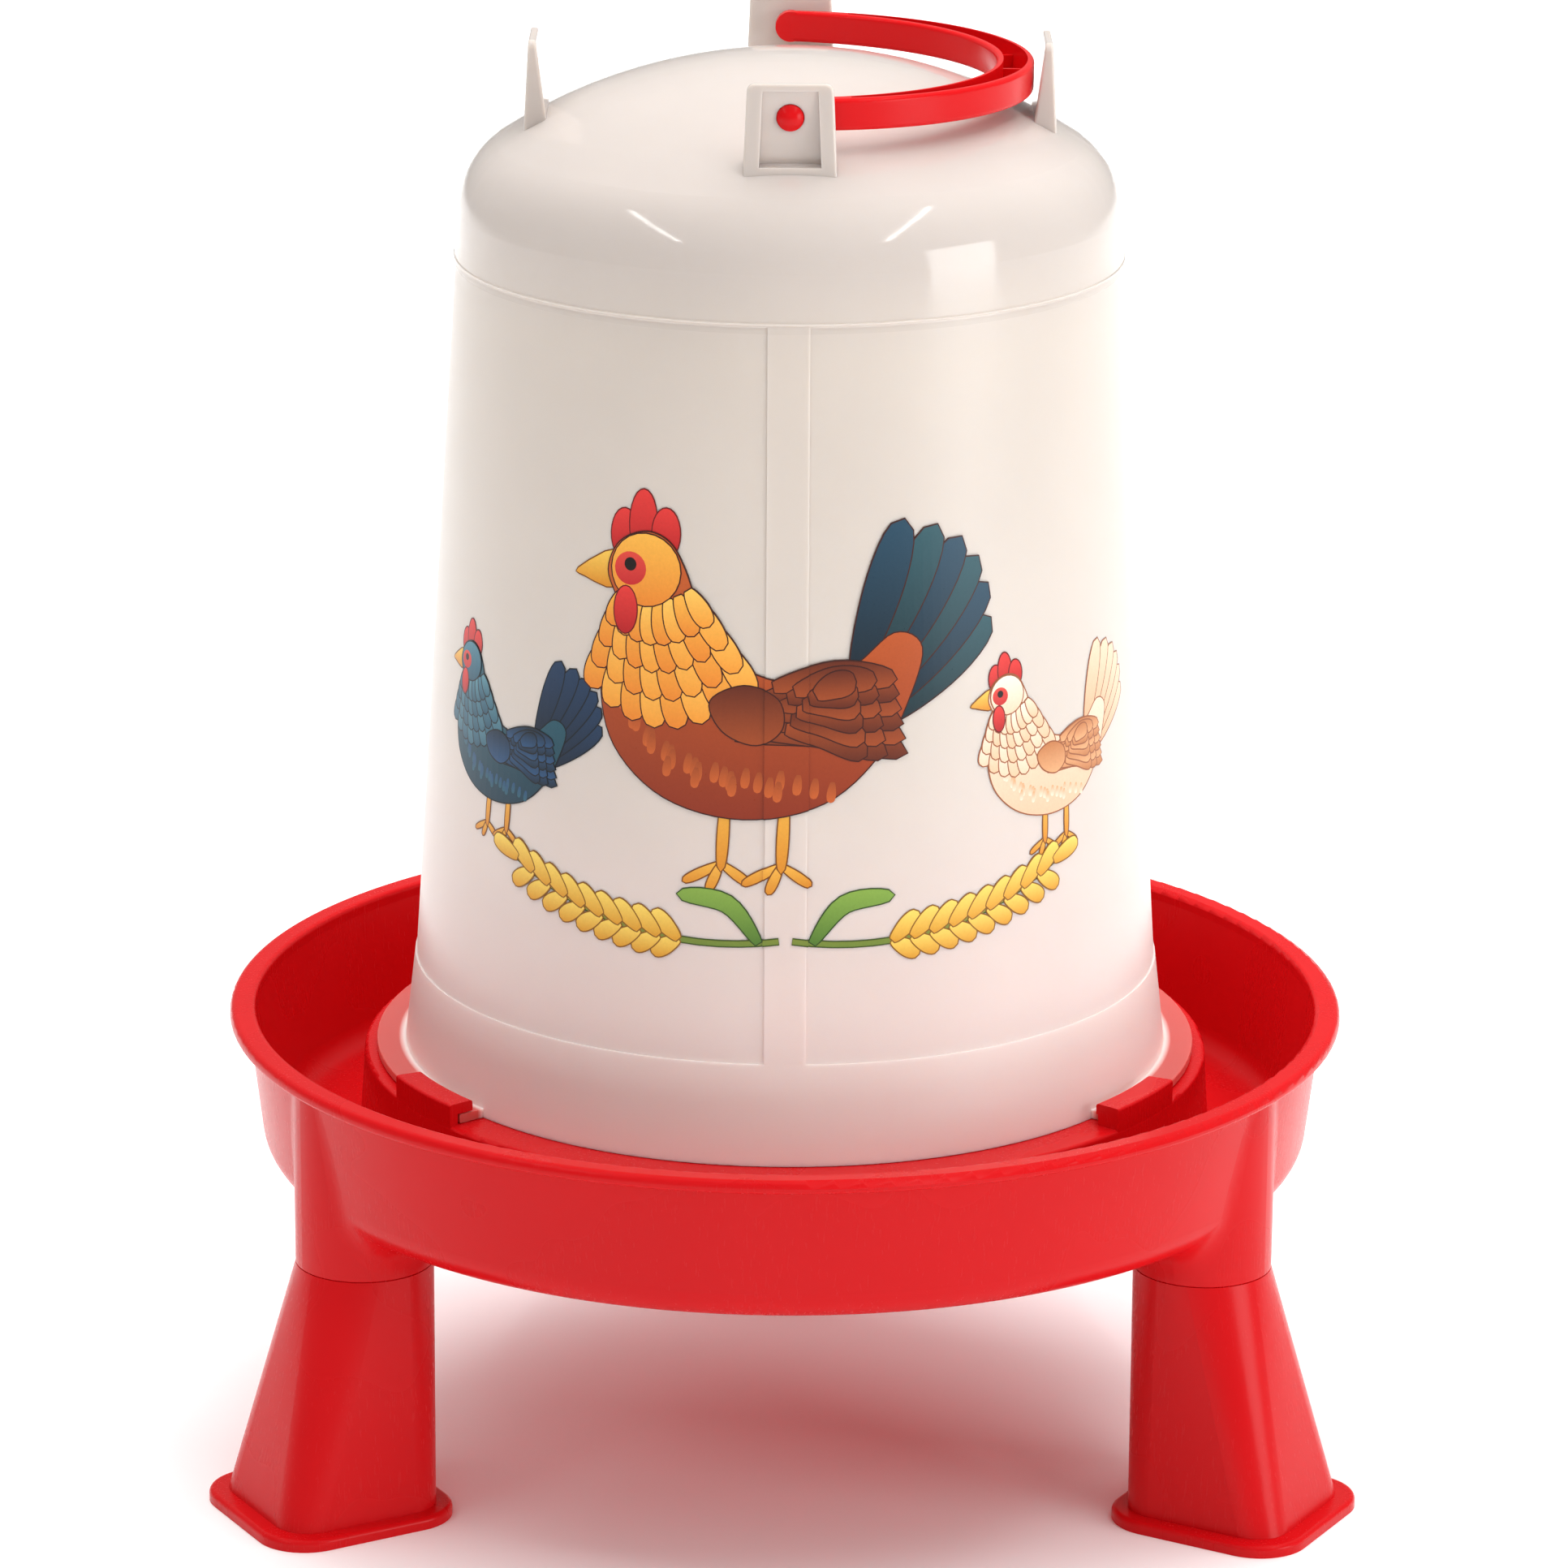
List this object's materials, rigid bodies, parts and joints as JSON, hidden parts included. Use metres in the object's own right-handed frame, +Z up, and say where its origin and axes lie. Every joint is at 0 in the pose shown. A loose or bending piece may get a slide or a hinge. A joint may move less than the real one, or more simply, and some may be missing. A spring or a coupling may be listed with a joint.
{
  "type": "poultry waterer fount",
  "caption": "Gravity-fed poultry drinker: a translucent bell tank with a swing handle, twist-locked onto a round red trough on push-fit legs.",
  "frame": {"origin": "where the tank's axis meets the ground plane under the three feet", "axes": "+Z up along the tank's axis; -Y is the front, midway between the two front legs; +X to the right seen from the front"},
  "size_m": [0.3568, 0.3693, 0.4478],
  "materials": {
    "red_polypropylene": "satin moulded",
    "natural_polypropylene": "translucent, satin wall and glossy dome"
  },
  "bodies": {
    "base": {"tray": "red_polypropylene", "leg_front_right": "red_polypropylene", "leg_rear": "red_polypropylene", "leg_front_left": "red_polypropylene"},
    "tank": {"tank": "natural_polypropylene"},
    "handle": {"handle": "red_polypropylene"}
  },
  "joints": [
    {"name": "tank_twist", "type": "hinge", "parent": "base", "child": "tank", "pos_m": [0, 0, 0.1265], "axis": [0, 0, 1], "range_deg": [0, 90]},
    {"name": "handle_swing", "type": "hinge", "parent": "tank", "child": "handle", "pos_m": [0, 0, 0.4375], "axis": [0, -1, 0], "range_deg": [0, 181.4]}
  ]
}
